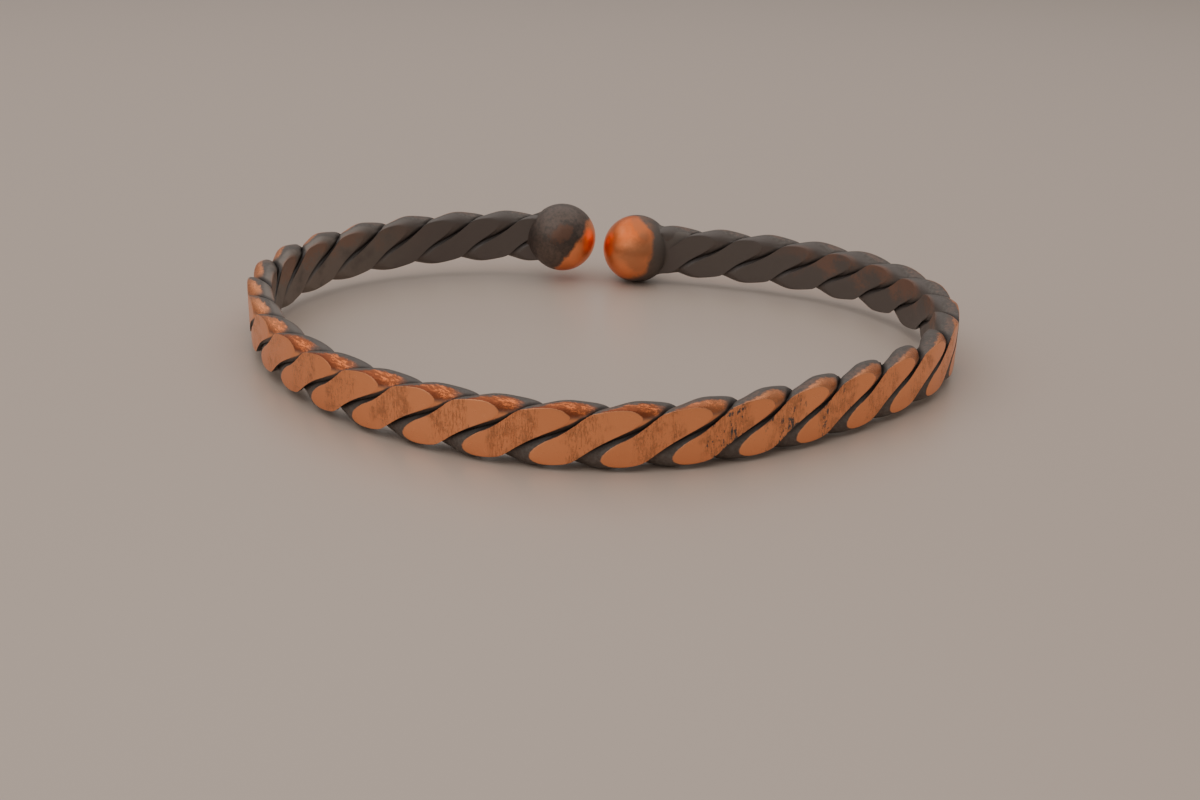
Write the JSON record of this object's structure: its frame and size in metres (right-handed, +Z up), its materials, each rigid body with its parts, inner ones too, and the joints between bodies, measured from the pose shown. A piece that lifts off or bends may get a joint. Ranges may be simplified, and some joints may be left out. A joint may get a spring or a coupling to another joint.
{
  "type": "twisted wire cuff bracelet",
  "caption": "Open cuff bracelet of wires twisted into a rope and pressed to a flat strap, with a ball on each end; it slips sideways onto the wrist through the gap between the balls.",
  "frame": {"origin": "middle of the cuff's outline seen from above, on the surface that it lies on", "axes": "+X from the left side of the cuff to the right, its widest way; +Y from the closed front to the gap between the balls; +Z up, along the wearer's forearm"},
  "size_m": [0.0682, 0.0565, 0.0084],
  "materials": {
    "wire": "copper, satin and finely scratched on the pressed outer faces, with dark patina in the grooves, on the edges and on the inside",
    "ball": "polished copper, partly covered by dark patina"
  },
  "bodies": {
    "root": {"wire_1": "wire", "wire_2": "wire", "wire_3": "wire", "ball_left": "ball", "ball_right": "ball"}
  },
  "joints": []
}
